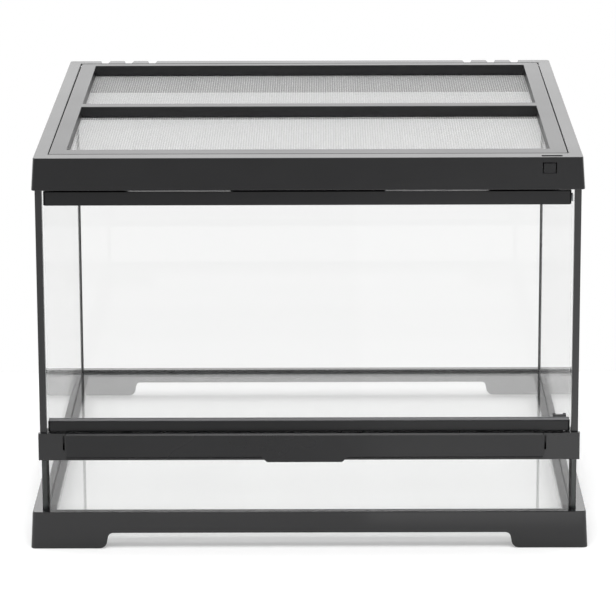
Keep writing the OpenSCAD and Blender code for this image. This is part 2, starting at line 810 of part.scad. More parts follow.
// Room inside the back rail, with the sill over the pane and the bay for the cable gates
module back_hollow() {
  block([-gx, in_y, fascia_z - 1], [gx, gy, pane_top]);
  block([-in_x + 2, inner_back + frame_inner_t, fascia_z - 1], [in_x - 2, in_y - 2, well_z - plate_t]);
  block([-well_x, well_back + slim_t, well_z - plate_t - 1], [well_x, frame_y - frame_t, cavity_top]);
  block([-well_x, well_back + slim_t, pane_top - 1], [well_x, in_y - 2, cavity_top]);
}

// Room inside the front rail, behind the drafted fascia
module front_hollow() {
  lean = fascia_draft / fascia_h;
  along_x(-in_x + 2, in_x - 2) polygon([
    [-frame_y - fascia_draft + frame_t - lean, fascia_z - 1],
    [-frame_y - fascia_draft + frame_t + lean * (cavity_top - fascia_z), cavity_top],
    [well_front - slim_t, cavity_top], [well_front - slim_t, well_z - plate_t],
    [inner_front - frame_inner_t, well_z - plate_t], [inner_front - frame_inner_t, fascia_z - 1]]);
}

// Rib that the closed door's top rail rests against
module door_stop() {
  y0 = door_back + play;
  x1 = axis_x - stop_gap;
  block([-door_x + 4, y0, door_top - stop_h], [x1, y0 + stop_t, fascia_z + 1]);
  block([-in_x + 1, y0, fascia_z], [x1, inner_front, fascia_z + stop_t]);
}

// Gap in the stop and the inner wall, which lets light through over the door
module light_gap(x) {
  block([x - light_gap_w / 2, door_back, door_top - stop_h - 1],
    [x + light_gap_w / 2, inner_front + 1, fascia_z + light_gap_h]);
}

// Block that holds the top of the upper hinge pin
module pin_boss() {
  block([axis_x - pad, door_mid - boss_d, boss_z], [axis_x + pad, door_mid + boss_d, boss_z + boss_h]);
  block([axis_x, door_mid - boss_d, fascia_z], [in_x, door_mid + boss_d, boss_z + boss_h]);
}

// Opening for the release tab, the slot over it, and the window its nose points through
module tab_opening() {
  block([tab_x - tab_w / 2, -FAR, tab_z0], [tab_x + tab_w / 2, -frame_y + frame_t + 1, tab_z1]);
  block([slot_x0, slot_y0, cavity_top - 1], [slot_x0 + catch_slot_w, slot_y0 + catch_slot_d, FAR]);
  block([tab_x - tab_w / 2, well_front - slim_t - 1, well_z], [tab_x + tab_w / 2, well_front + 1, tab_z1]);
}

// Shelf and sill that carry the cable gates
module gate_rests() {
  both() {
    block([gate_x0 - gate_travel - 1, well_back + 0.5, gate_top - gate_t - play - shelf_t],
      [gate_x1 + 1, well_back + slim_t + shelf_d, gate_top - gate_t - play]);
  }
  block([-well_x, in_y - 1, pane_top], [well_x, frame_y - frame_t + 1, sill_top]);
}

// Notch through the back rail's top and its outer wall
module cable_notch(x) {
  y0 = well_back + slim_t;
  y1 = frame_y + fascia_draft;
  translate([x, 0, notch_z]) linear_extrude(FAR) polygon([
    [-notch_in_w / 2, y0], [notch_in_w / 2, y0], [notch_w / 2, y1], [-notch_w / 2, y1]]);
  block([x - notch_in_w / 2, y0 - EPS, fascia_z], [x + notch_in_w / 2, in_y - 2, FAR]);
}

module release_tab() color(BLACK) {
  lean = fascia_draft / fascia_h;
  face = -frame_y - fascia_draft + lean * tab_z;
  low = tab_z0 + play;
  top = tab_z1 - tab_slit;
  mid = top - 2 - nose_t;
  along_x(tab_x - tab_w / 2 + tab_slit, tab_x + tab_w / 2 - tab_slit) polygon([
    [face, low], [face + frame_t - SLIP, low], [face + frame_t, mid - 1], [nose_y, mid],
    [nose_y, mid + nose_t], [slot_y0 + catch_slot_d, top - 0.4], [face + lean * tab_h, top]]);
}

// Angle-section comb: its upper leg shuts the notches in the rail's top, its rear leg those in the wall
module right_cable_gate() color(BLACK) {
  difference() {
    union() {
      block([gate_x0, gate_y0, gate_top - gate_t], [gate_x1, gate_y1, gate_top]);
      block([gate_x0, gate_y1 - gate_t, sill_top + play], [gate_x1, gate_y1, gate_top]);
      block([notch_x + grip_in, gate_y0 + shelf_d, pane_top - 7],
        [notch_x + notch_pitch - grip_in, in_y - 2.4, gate_top]);
    }
    for (i = [0:notch_n - 1]) translate([notch_x + i * notch_pitch, 0, 0])
      block([-comb_w / 2, gate_y0 - 1, notch_z - 0.5], [comb_w / 2, gate_y1 + 1, FAR]);
  }
}

module left_cable_gate() mirror([1, 0, 0]) right_cable_gate();

// ---- screen cover -------------------------------------------------------

module cover_frame() color(BLACK) {
  difference() {
    slab(-cover_x, cover_y0, cover_x, cover_y1, cover_z, frame_top, cover_corner);
    for (w = [[win_y0, win_y1], [win_y2, win_y3]]) {
      slab(-win_x, w[0], win_x, w[1], 0, FAR, win_r);
      block([-win_x - mesh_lap, w[0] - mesh_lap, 0], [win_x + mesh_lap, w[1] + mesh_lap, mesh_top]);
    }
    cover_channels();
    along_x(-FAR, FAR) polygon([[cover_y1 - heel, frame_top + EPS],
      [cover_y1 + EPS, frame_top + EPS], [cover_y1 + EPS, frame_top - heel]]);
    block([tab_x - tab_w / 2, cover_y0 - 1, well_z + 2],
      [tab_x + tab_w / 2, cover_y0 + nose_room, tab_z1]);
    both() translate([cover_x - cover_pin_in, cover_axis_y, cover_axis_z]) rotate([0, 90, 0])
      cylinder(r = cover_pin_r + pin_fit, h = FAR);
  }
}

// Grooves that lighten the side and front members from below
module cover_channels() {
  roof = frame_top - 3;
  both() block([win_x + mesh_lap + cover_wall, cover_y0 + 8, 0], [cover_x - cover_wall, cover_y1 - 14, roof]);
  block([-cover_x + 8, cover_y0 + cover_wall, 0],
    [tab_x - tab_w / 2 - 5, win_y0 - mesh_lap - cover_wall, roof]);
}

// Mesh sheet under the window from y0 to y1
module screen(y0, y1) color(MESH)
  block([-win_x - mesh_lap + SLIP, y0 - mesh_lap + SLIP, mesh_z],
    [win_x + mesh_lap - SLIP, y1 + mesh_lap - SLIP, mesh_top]);

// Thin frame that clamps the mesh from below
module retainer(y0, y1) color(BLACK) {
  lap = mesh_lap - SLIP;
  difference() {
    block([-win_x - lap, y0 - lap, cover_z + 0.1], [win_x + lap, y1 + lap, mesh_z]);
    block([-win_x - 0.4, y0 - 0.4, 0], [win_x + 0.4, y1 + 0.4, FAR]);
  }
}

module front_screen() screen(win_y0, win_y1);

module rear_screen() screen(win_y2, win_y3);

module front_retainer() retainer(win_y0, win_y1);

module rear_retainer() retainer(win_y2, win_y3);

module cover_hinge_pins() color(STEEL) both()
  translate([cover_x - cover_pin_in + 0.4, cover_axis_y, cover_axis_z]) rotate([0, 90, 0])
    cylinder(r = cover_pin_r, h = cover_pin_in - 0.4 + seam + cover_pin_out);

base_frame();
floor_glass();
back_glass();
left_glass();
right_glass();
front_glass();
glass_sealant();
left_post();
right_post();
vent_strip();
vent_screen();
latch_bar();
latch_clips();
latch_screws();
latch_springs();
door_glass();
door_top_rail();
door_bottom_rail();
top_rail_cap();
top_hinge_pin();
bottom_hinge_pin();
pin_slider();
top_frame();
release_tab();
left_cable_gate();
right_cable_gate();
cover_frame();
front_screen();
rear_screen();
front_retainer();
rear_retainer();
cover_hinge_pins();
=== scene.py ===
import json
import math

import bmesh
import bpy
import numpy as np
from mathutils import Matrix, Vector


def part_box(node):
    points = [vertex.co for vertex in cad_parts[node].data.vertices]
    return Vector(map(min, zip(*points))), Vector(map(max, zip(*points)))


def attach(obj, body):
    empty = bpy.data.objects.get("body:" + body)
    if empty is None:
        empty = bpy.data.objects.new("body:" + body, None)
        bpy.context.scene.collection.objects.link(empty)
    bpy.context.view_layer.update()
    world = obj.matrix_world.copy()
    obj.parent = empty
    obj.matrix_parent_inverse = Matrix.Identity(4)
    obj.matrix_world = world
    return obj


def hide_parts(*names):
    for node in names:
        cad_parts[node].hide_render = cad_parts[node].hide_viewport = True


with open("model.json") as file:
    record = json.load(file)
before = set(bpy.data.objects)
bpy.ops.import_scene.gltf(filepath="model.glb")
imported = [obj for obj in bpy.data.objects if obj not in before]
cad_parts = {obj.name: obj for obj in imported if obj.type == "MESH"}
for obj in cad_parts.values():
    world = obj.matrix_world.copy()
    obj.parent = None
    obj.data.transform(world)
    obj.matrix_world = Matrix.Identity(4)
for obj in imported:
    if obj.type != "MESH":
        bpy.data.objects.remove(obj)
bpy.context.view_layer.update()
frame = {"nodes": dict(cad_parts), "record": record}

# ---------------------------------------------------------------------------
# The room: a white painted table under white walls. The walls are dimmer on
# the side the tank faces, so that its black mouldings read as black there.

scene = bpy.context.scene
scene.view_settings.view_transform = "Standard"

WHITE = (1, 1, 1, 1)
TABLE_SPAN = 9.0
TABLE_BACK = 0.33
TABLE_PAINT = (0.80, 0.80, 0.80, 1)
TABLE_GLOW = 0.27
WALL_FILL = 0.6
WALL_BEHIND = 2.0
WALL_BEFORE = 0.30
WALL_TURN = (-0.35, 0.45)


def material(name):
    """A new node material with its Principled shader, as (material, tree, shader)."""
    made = bpy.data.materials.new(name)
    made.use_nodes = True
    tree = made.node_tree
    return made, tree, tree.nodes["Principled BSDF"]


def preset(node, values):
    """Sets a node's unlinked inputs, from a dictionary of socket names or numbers, and gives the node back."""
    for socket, value in values.items():
        node.inputs[socket].default_value = value
    return node


def add(tree, kind, values=None, **settings):
    """A node of that kind in the tree, with its settings and the values of its unlinked inputs."""
    node = tree.nodes.new(kind)
    for key, value in settings.items():
        setattr(node, key, value)
    return preset(node, values or {})


def join(tree, *pairs):
    """Links each pair of an output and an input in the tree."""
    for output, socket in pairs:
        tree.links.new(output, socket)


def any_ray(tree, *kinds):
    """Light Path value that is 1 for rays of any of those kinds, and 0 for the rest."""
    path = add(tree, "ShaderNodeLightPath")
    value = path.outputs[f"Is {kinds[0]} Ray"]
    for kind in kinds[1:]:
        either = add(tree, "ShaderNodeMath", operation="MAXIMUM")
        join(tree, (value, either.inputs[0]), (path.outputs[f"Is {kind} Ray"], either.inputs[1]))
        value = either.outputs[0]
    return value


def mixed(tree, factor, first, second):
    """Shader output that is the first shader where the factor is 0, and the second where it is 1."""
    mix = add(tree, "ShaderNodeMixShader")
    join(tree, (factor, mix.inputs[0]), (first, mix.inputs[1]), (second, mix.inputs[2]))
    return mix.outputs[0]


def shape(name, points, faces):
    """A flat shaded mesh object at the origin, from points (n, 3) and faces (m, 4) of point numbers."""
    mesh = bpy.data.meshes.new(name)
    mesh.from_pydata(np.asarray(points, float).tolist(), [], np.asarray(faces, int).tolist())
    mesh.polygons.foreach_set("use_smooth", np.zeros(len(mesh.polygons), bool))
    mesh.update()
    piece = bpy.data.objects.new(name, mesh)
    scene.collection.objects.link(piece)
    return piece


def table_top(span, back):
    """A flat rectangle at z = 0: x runs from minus to plus half the span, and y from minus half the span to back."""
    x, y = np.meshgrid([-span / 2, span / 2], [-span / 2, back])
    return shape("table_top", np.stack([x.ravel(), y.ravel(), np.zeros(4)], -1), [[0, 1, 3, 2]])


table = table_top(TABLE_SPAN, TABLE_BACK)
table_paint, tree, paint = material("table_paint")
preset(paint, {"Base Color": TABLE_PAINT, "Roughness": 0.9, "Specular IOR Level": 0.1})
glow = add(tree, "ShaderNodeEmission", {"Strength": TABLE_GLOW})
lit = add(tree, "ShaderNodeAddShader")
join(tree, (paint.outputs[0], lit.inputs[0]), (glow.outputs[0], lit.inputs[1]))
seen_table = mixed(tree, any_ray(tree, "Camera", "Glossy", "Transmission"), paint.outputs[0], lit.outputs[0])
join(tree, (seen_table, tree.nodes["Material Output"].inputs["Surface"]))
table.data.materials.append(table_paint)

walls = bpy.data.worlds.new("white_walls")
walls.use_nodes = True
scene.world = walls
tree = walls.node_tree
fill = preset(tree.nodes["Background"], {"Color": WHITE, "Strength": WALL_FILL})
backdrop = add(tree, "ShaderNodeBackground", {"Color": WHITE})
mirrored_walls = add(tree, "ShaderNodeBackground", {"Color": WHITE})
heading = add(tree, "ShaderNodeTexCoord")
split = add(tree, "ShaderNodeSeparateXYZ")
turn = add(tree, "ShaderNodeMapRange", interpolation_type="SMOOTHSTEP")
preset(turn, {"From Min": WALL_TURN[0], "From Max": WALL_TURN[1], "To Min": WALL_BEFORE, "To Max": WALL_BEHIND})
join(tree,
     (heading.outputs["Generated"], split.inputs[0]),
     (split.outputs["Y"], turn.inputs["Value"]),
     (turn.outputs["Result"], mirrored_walls.inputs["Strength"]))
seen_walls = mixed(tree, any_ray(tree, "Glossy"), fill.outputs[0], mirrored_walls.outputs[0])
seen_walls = mixed(tree, any_ray(tree, "Camera", "Transmission"), seen_walls, backdrop.outputs[0])
join(tree, (seen_walls, tree.nodes["World Output"].inputs["Surface"]))


def softbox(name, place, aim, size, power, mirrored=True):
    """A square lamp at place that faces aim, both in metres. The camera and the glass don't see it, and mirrored says
    whether glossy faces show it."""
    light = bpy.data.lights.new(name, "AREA")
    light.shape = "SQUARE"
    light.size = size
    light.energy = power
    holder = bpy.data.objects.new(name, light)
    holder.location = place
    holder.rotation_euler = Vector(np.subtract(aim, place)).to_track_quat("-Z", "Y").to_euler()
    holder.visible_camera = False
    holder.visible_transmission = False
    holder.visible_glossy = mirrored
    scene.collection.objects.link(holder)


softbox("overhead_softbox", place=(0.0, -0.3, 2.6), aim=(0, -0.3, 0.1), size=2.4, power=46, mirrored=False)
softbox("front_softbox", place=(0.0, -1.3, 2.4), aim=(0, -0.2, 0.1), size=0.8, power=13)
softbox("right_softbox", place=(0.95, -1.2, 0.01), aim=(0.95, -1.2, 1.0), size=1.8, power=6)
softbox("left_softbox", place=(-2.4, -1.0, 1.2), aim=(0, 0, 0.15), size=1.4, power=3)

# The camera stands about three metres away, a little above the cover, and
# looks down on the tank through a long lens.
CAMERA_PLACE = (0.01297, -3.07239, 0.92800)
CAMERA_PITCH = 14.1915
CAMERA_YAW = -0.2690
CAMERA_ROLL = -0.2098
CAMERA_LENS = 204.29
CAMERA_SENSOR = 36
CAMERA_REACH = 50

camera = bpy.data.objects.new("camera", bpy.data.cameras.new("camera"))
camera.data.lens = CAMERA_LENS
camera.data.sensor_width = CAMERA_SENSOR
camera.data.clip_end = CAMERA_REACH
camera.location = CAMERA_PLACE
camera.rotation_euler = (Matrix.Rotation(math.radians(-CAMERA_YAW), 3, "Z")
                         @ Matrix.Rotation(math.radians(90 - CAMERA_PITCH), 3, "X")
                         @ Matrix.Rotation(math.radians(CAMERA_ROLL), 3, "Z")).to_euler()
scene.collection.objects.link(camera)
scene.camera = camera

# ---------------------------------------------------------------------------
# Base frame: one black moulding that carries all the panes. The skirt leans
# out to its foot and has a low arch in the front and the back. The mould
# leaves a fine grain on its faces, and its outer edges are slightly round.

BASE_ROUND = 0.0007
LONG_EDGE = 0.018
MERGE_WITHIN = 0.000002
SEAM_ANGLE = math.radians(0.4)
CREASE_ANGLE = math.radians(28)
EDGE_ANGLES = (math.radians(30), math.radians(150))
ROOM_IN_WIDTHS = 2.5
STRAIGHT_ON = 0.8
ROUND_SEGMENTS = 2
BLACK_RESIN = (0.009, 0.009, 0.0098)
MOTTLE_SCALE = 26
FLOW_SCALE = 7
FLOW_SHARE = 0.15
GRAIN_STRENGTH = 0.35


def effect(name, inputs, outputs):
    """A node group with sockets named and typed by two dictionaries, as (group, its given values, its results)."""
    group = bpy.data.node_groups.new(name, "ShaderNodeTree")
    for in_out, sockets in (("INPUT", inputs), ("OUTPUT", outputs)):
        for socket, kind in sockets.items():
            group.interface.new_socket(socket, in_out=in_out, socket_type="NodeSocket" + kind)
    return group, add(group, "NodeGroupInput").outputs, add(group, "NodeGroupOutput").inputs


def moulded_grain():
    """Node group for injection moulded plastic: the pigment's faint mottle, uneven gloss and spark-eroded grain.

    Colour is the resin's colour times 1 + Mottle * (n1 - 0.5). Roughness is Gloss + Mottle * FLOW_SHARE * (n2 - 0.5).
    Height is a noise of about Grain per metre. n1 and n2 are slow noises over the piece.
    """
    group, given, out = effect(
        "moulded_grain", {"Resin": "Color", "Gloss": "Float", "Mottle": "Float", "Grain": "Float"},
        {"Colour": "Color", "Roughness": "Float", "Height": "Float"})
    where = add(group, "ShaderNodeTexCoord")
    slow = add(group, "ShaderNodeTexNoise", {"Scale": MOTTLE_SCALE, "Detail": 4})
    flow = add(group, "ShaderNodeTexNoise", {"Scale": FLOW_SCALE, "Detail": 3})
    grain = add(group, "ShaderNodeTexNoise", {"Detail": 2})
    shade = add(group, "ShaderNodeMath", {1: 0.5}, operation="SUBTRACT")
    gain = add(group, "ShaderNodeMath", {2: 1}, operation="MULTIPLY_ADD")
    tint = add(group, "ShaderNodeVectorMath", operation="SCALE")
    dull = add(group, "ShaderNodeMath", {1: 0.5}, operation="SUBTRACT")
    amount = add(group, "ShaderNodeMath", {1: FLOW_SHARE}, operation="MULTIPLY")
    rough = add(group, "ShaderNodeMath", operation="MULTIPLY_ADD")
    for texture in (slow, flow, grain):
        join(group, (where.outputs["Object"], texture.inputs["Vector"]))
    join(group,
         (given["Grain"], grain.inputs["Scale"]),
         (slow.outputs["Fac"], shade.inputs[0]),
         (shade.outputs[0], gain.inputs[0]),
         (given["Mottle"], gain.inputs[1]),
         (given["Resin"], tint.inputs[0]),
         (gain.outputs[0], tint.inputs["Scale"]),
         (tint.outputs[0], out["Colour"]),
         (flow.outputs["Fac"], dull.inputs[0]),
         (given["Mottle"], amount.inputs[0]),
         (dull.outputs[0], rough.inputs[0]),
         (amount.outputs[0], rough.inputs[1]),
         (given["Gloss"], rough.inputs[2]),
         (rough.outputs[0], out["Roughness"]),
         (grain.outputs["Fac"], out["Height"]))
    return group


MOULDED_GRAIN = moulded_grain()


def raised(tree, shader, height, strength, distance):
    """Bumps the shader's normal by a height value, which stands for that distance in metres at 1."""
    bump = add(tree, "ShaderNodeBump", {"Strength": strength, "Distance": distance})
    join(tree, (height, bump.inputs["Height"]), (bump.outputs["Normal"], shader.inputs["Normal"]))


def moulded(name, resin, gloss, index=1.4, mottle=0.5, grain=2600, relief=0.000015):
    """A moulded plastic: resin colour, mean roughness, surface index, mottle, grains per metre and their height."""
    made, tree, shader = material(name)
    group = add(tree, "ShaderNodeGroup", node_tree=MOULDED_GRAIN)
    preset(group, {"Resin": (*resin, 1), "Gloss": gloss, "Mottle": mottle, "Grain": grain})
    join(tree,
         (group.outputs["Colour"], shader.inputs["Base Color"]),
         (group.outputs["Roughness"], shader.inputs["Roughness"]))
    raised(tree, shader, group.outputs["Height"], GRAIN_STRENGTH, relief)
    shader.inputs["IOR"].default_value = index
    return made


def dress(look, *nodes):
    """Gives CAD nodes that keep their own shape the material look."""
    for node in nodes:
        mesh = frame["nodes"][node].data
        mesh.materials.clear()
        mesh.materials.append(look)


def outer_edges(solid, width, shortest):
    """Convex edges within EDGE_ANGLES that are at least that long, with the short ones that carry on from them.

    A face beside such an edge has to reach at least ROOM_IN_WIDTHS widths from it, so that its two rounds don't meet.
    """
    def wide(edge):
        start = edge.verts[0].co
        along = (edge.verts[1].co - start).normalized()
        reach = [max(((v.co - start) - along * (v.co - start).dot(along)).length for v in face.verts)
                 for face in edge.link_faces]
        return min(reach) > ROOM_IN_WIDTHS * width

    sharp = {e for e in solid.edges if len(e.link_faces) == 2
             and EDGE_ANGLES[0] < e.calc_face_angle_signed(0) < EDGE_ANGLES[1] and wide(e)}
    chosen = {e for e in sharp if e.calc_length() >= shortest}
    front = list(chosen)
    while front:
        edge = front.pop()
        for corner in edge.verts:
            ahead = (corner.co - edge.other_vert(corner).co).normalized()
            for other in corner.link_edges:
                onward = (other.other_vert(corner).co - corner.co).normalized()
                if other in sharp and other not in chosen and ahead.dot(onward) > STRAIGHT_ON:
                    chosen.add(other)
                    front.append(other)
    return chosen


def softened(node, width, look, shortest=LONG_EDGE):
    """A copy of a node's solid, merged and freed of flat seams, whose long outer edges a live bevel rounds by width."""
    source = frame["nodes"][node]
    piece = bpy.data.objects.new(node + "_skin", source.data.copy())
    scene.collection.objects.link(piece)
    solid = bmesh.new()
    solid.from_mesh(piece.data)
    bmesh.ops.remove_doubles(solid, verts=solid.verts, dist=MERGE_WITHIN)
    bmesh.ops.dissolve_limit(solid, angle_limit=SEAM_ANGLE, verts=solid.verts, edges=solid.edges)
    weight = solid.edges.layers.float.new("bevel_weight_edge")
    for edge in outer_edges(solid, width, shortest):
        edge[weight] = 1
    for face in solid.faces:
        face.smooth = True
    solid.to_mesh(piece.data)
    solid.free()
    piece.data.set_sharp_from_angle(angle=CREASE_ANGLE)
    bevel = piece.modifiers.new("edge_round", "BEVEL")
    bevel.limit_method = "WEIGHT"
    bevel.width = width
    bevel.segments = ROUND_SEGMENTS
    bevel.use_clamp_overlap = False
    bevel.harden_normals = True
    piece.data.materials.clear()
    piece.data.materials.append(look)
    body = next(name for name, nodes in frame["record"]["behaviour"]["bodies"].items() if node in nodes)
    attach(piece, body)
    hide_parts(node)


base_plastic = moulded("base_black_moulding", BLACK_RESIN, gloss=0.22, index=1.48)
softened("base_frame", BASE_ROUND, base_plastic)

# ---------------------------------------------------------------------------
# Glass: five wall panes and a floor pane of float glass with ground edges,
# standing on the base's ledge. Clear through the face, greener at the edges.

GLASS_FACE = (0.968, 0.969, 0.968)
UPRIGHT_FACE = (0.95, 0.951, 0.95)
GLASS_EDGE = (0.62, 0.80, 0.74)
SHADOW_TINT = (0.955, 0.958, 0.956, 1)
GROUND_ROUGHNESS = 0.34
SCRATCH_SCALE = 1800
SCRATCH_STRENGTH = 0.4
SCRATCH_DEPTH = 0.00003


def glass_edges():
    """Node group for a pane: a face that doesn't look along the pane's thickness, Across, is a ground edge.

    The edge's mask is 1 where |normal . Across| is under one half. It picks Colour from Face and Ground, and scales
    the ground edge's Roughness and the Height of its fine scratches.
    """
    group, given, out = effect(
        "glass_edges", {"Across": "Vector", "Face": "Color", "Ground": "Color", "Ground Roughness": "Float"},
        {"Colour": "Color", "Roughness": "Float", "Height": "Float"})
    where = add(group, "ShaderNodeTexCoord")
    facing = add(group, "ShaderNodeVectorMath", operation="DOT_PRODUCT")
    size = add(group, "ShaderNodeMath", operation="ABSOLUTE")
    edge = add(group, "ShaderNodeMath", {1: 0.5}, operation="LESS_THAN")
    tint = add(group, "ShaderNodeMix", data_type="RGBA")
    rough = add(group, "ShaderNodeMath", operation="MULTIPLY")
    scratch = add(group, "ShaderNodeTexNoise", {"Scale": SCRATCH_SCALE})
    height = add(group, "ShaderNodeMath", operation="MULTIPLY")
    join(group,
         (where.outputs["Normal"], facing.inputs[0]),
         (given["Across"], facing.inputs[1]),
         (facing.outputs["Value"], size.inputs[0]),
         (size.outputs[0], edge.inputs[0]),
         (edge.outputs[0], tint.inputs["Factor"]),
         (given["Face"], tint.inputs[6]),
         (given["Ground"], tint.inputs[7]),
         (tint.outputs[2], out["Colour"]),
         (edge.outputs[0], rough.inputs[0]),
         (given["Ground Roughness"], rough.inputs[1]),
         (rough.outputs[0], out["Roughness"]),
         (where.outputs["Object"], scratch.inputs["Vector"]),
         (scratch.outputs["Fac"], height.inputs[0]),
         (edge.outputs[0], height.inputs[1]),
         (height.outputs[0], out["Height"]))
    return group


GLASS_EDGES = glass_edges()


def pane_glass(name, across, face, index):
    """Clear glass for a pane whose thickness runs along the vector across, with its face's colour and surface index.

    It lets the lamps through, a little dimmed.
    """
    made, tree, shader = material(name)
    group = add(tree, "ShaderNodeGroup", node_tree=GLASS_EDGES)
    preset(group, {"Across": across, "Face": (*face, 1), "Ground": (*GLASS_EDGE, 1)})
    preset(group, {"Ground Roughness": GROUND_ROUGHNESS})
    preset(shader, {"IOR": index, "Transmission Weight": 1})
    clear = add(tree, "ShaderNodeBsdfTransparent", {"Color": SHADOW_TINT})
    join(tree,
         (group.outputs["Colour"], shader.inputs["Base Color"]),
         (group.outputs["Roughness"], shader.inputs["Roughness"]))
    raised(tree, shader, group.outputs["Height"], SCRATCH_STRENGTH, SCRATCH_DEPTH)
    lamps_through = mixed(tree, any_ray(tree, "Shadow", "Diffuse"), shader.outputs[0], clear.outputs[0])
    join(tree, (lamps_through, tree.nodes["Material Output"].inputs["Surface"]))
    return made


side_pane = pane_glass("side_pane_glass", across=(1, 0, 0), face=GLASS_FACE, index=1.5)
upright_pane = pane_glass("front_and_back_pane_glass", across=(0, 1, 0), face=UPRIGHT_FACE, index=1.3)
floor_pane = pane_glass("floor_pane_glass", across=(0, 0, 1), face=GLASS_FACE, index=1.55)
dress(side_pane, "left_glass", "right_glass")
dress(upright_pane, "front_glass", "back_glass")
dress(floor_pane, "floor_glass")

# ---------------------------------------------------------------------------
# Sealant: black silicone, run into the corner joints and round the floor and
# drawn off with a wet finger, which leaves it smooth with slow waves.

SILICONE_BLACK = (0.008, 0.008, 0.008, 1)
SILICONE_GLOSS = (0.22, 0.42)
SILICONE_INDEX = 1.42
WAVE_SCALE = 220
WAVE_STRENGTH = 0.4
WAVE_HEIGHT = 0.0002

sealant, tree, shader = material("black_silicone")
preset(shader, {"Base Color": SILICONE_BLACK, "IOR": SILICONE_INDEX})
where = add(tree, "ShaderNodeTexCoord")
waves = add(tree, "ShaderNodeTexNoise", {"Scale": WAVE_SCALE})
shine = add(tree, "ShaderNodeMapRange", {"To Min": SILICONE_GLOSS[0], "To Max": SILICONE_GLOSS[1]})
join(tree,
     (where.outputs["Object"], waves.inputs["Vector"]),
     (waves.outputs["Fac"], shine.inputs["Value"]),
     (shine.outputs["Result"], shader.inputs["Roughness"]))
raised(tree, shader, waves.outputs["Fac"], WAVE_STRENGTH, WAVE_HEIGHT)
dress(sealant, "glass_sealant")

# ---------------------------------------------------------------------------
# Posts: thin black extrusions pushed over the side panes' front edges. The
# die leaves long faint streaks up them.

POST_ROUND = 0.0004
STREAK_STRETCH = 100
STREAK_STRENGTH = 0.25
STREAK_DEPTH = 0.00003
STREAK_SHADES = (0.88, 1.1)


def drawn_streaks():
    """Node group for a drawn or extruded surface: Streak is a noise, 0 to 1, stretched along the unit vector Along.

    The noise is read at p - (1 - 1 / STREAK_STRETCH) * p * Along, for the point p on the piece.
    """
    group, given, out = effect("drawn_streaks", {"Along": "Vector", "Fineness": "Float"}, {"Streak": "Float"})
    where = add(group, "ShaderNodeTexCoord")
    part = add(group, "ShaderNodeVectorMath", operation="MULTIPLY")
    shrink = add(group, "ShaderNodeVectorMath", {"Scale": 1 - 1 / STREAK_STRETCH}, operation="SCALE")
    flat = add(group, "ShaderNodeVectorMath", operation="SUBTRACT")
    streak = add(group, "ShaderNodeTexNoise", {"Detail": 3})
    join(group,
         (where.outputs["Object"], part.inputs[0]),
         (given["Along"], part.inputs[1]),
         (part.outputs[0], shrink.inputs[0]),
         (where.outputs["Object"], flat.inputs[0]),
         (shrink.outputs[0], flat.inputs[1]),
         (flat.outputs[0], streak.inputs["Vector"]),
         (given["Fineness"], streak.inputs["Scale"]),
         (streak.outputs["Fac"], out["Streak"]))
    return group


DRAWN_STREAKS = drawn_streaks()


def drawn(name, colour, metallic, along, fineness, gloss):
    """A drawn surface: its streaks run along the vector along and swing its roughness between the two of gloss."""
    made, tree, shader = material(name)
    shader.inputs["Metallic"].default_value = metallic
    group = add(tree, "ShaderNodeGroup", node_tree=DRAWN_STREAKS)
    preset(group, {"Along": along, "Fineness": fineness})
    spread = add(tree, "ShaderNodeMapRange", {"To Min": gloss[0], "To Max": gloss[1]})
    dark, light = [(*[c * part for c in colour], 1) for part in STREAK_SHADES]
    shade = add(tree, "ShaderNodeMix", {6: dark, 7: light}, data_type="RGBA")
    join(tree,
         (group.outputs["Streak"], spread.inputs["Value"]),
         (spread.outputs["Result"], shader.inputs["Roughness"]),
         (group.outputs["Streak"], shade.inputs["Factor"]),
         (shade.outputs[2], shader.inputs["Base Color"]))
    raised(tree, shader, group.outputs["Streak"], STREAK_STRENGTH, STREAK_DEPTH)
    return made


post_plastic = drawn("post_black_extrusion", BLACK_RESIN, 0, along=(0, 0, 1), fineness=900, gloss=(0.28, 0.40))
softened("left_post", POST_ROUND, post_plastic)
softened("right_post", POST_ROUND, post_plastic)

# ---------------------------------------------------------------------------
# Vent strip: black moulding between the low front pane and the door, with a
# perforated steel sheet clipped in behind its air slots.

STRIP_ROUND = 0.0008
HOLE_PITCH = 0.0030
HOLE_RADIUS = 0.00085
NO_PITCH = 1e6
SHEET_STEEL = (0.52, 0.52, 0.53, 1)
SHEET_GLOSS = (0.30, 0.48)
SPOT_SCALE = 160

strip_plastic = moulded("strip_black_moulding", BLACK_RESIN, gloss=0.27, index=1.45)
softened("vent_strip", STRIP_ROUND, strip_plastic)

punched, tree, shader = material("punched_steel")
preset(shader, {"Base Color": SHEET_STEEL, "Metallic": 1})
where = add(tree, "ShaderNodeTexCoord")
place = add(tree, "ShaderNodeVectorMath", {1: (HOLE_PITCH, NO_PITCH, HOLE_PITCH)}, operation="DIVIDE")
cell = add(tree, "ShaderNodeVectorMath", operation="FRACTION")
from_middle = add(tree, "ShaderNodeVectorMath", {1: (0.5, 0, 0.5)}, operation="DISTANCE")
solid_steel = add(tree, "ShaderNodeMath", {1: HOLE_RADIUS / HOLE_PITCH}, operation="GREATER_THAN")
spots = add(tree, "ShaderNodeTexNoise", {"Scale": SPOT_SCALE})
worn = add(tree, "ShaderNodeMapRange", {"To Min": SHEET_GLOSS[0], "To Max": SHEET_GLOSS[1]})
join(tree,
     (where.outputs["Object"], place.inputs[0]),
     (place.outputs[0], cell.inputs[0]),
     (cell.outputs[0], from_middle.inputs[0]),
     (from_middle.outputs["Value"], solid_steel.inputs[0]),
     (solid_steel.outputs[0], shader.inputs["Alpha"]),
     (where.outputs["Object"], spots.inputs["Vector"]),
     (spots.outputs["Fac"], worn.inputs["Value"]),
     (worn.outputs["Result"], shader.inputs["Roughness"]))
dress(punched, "vent_screen")

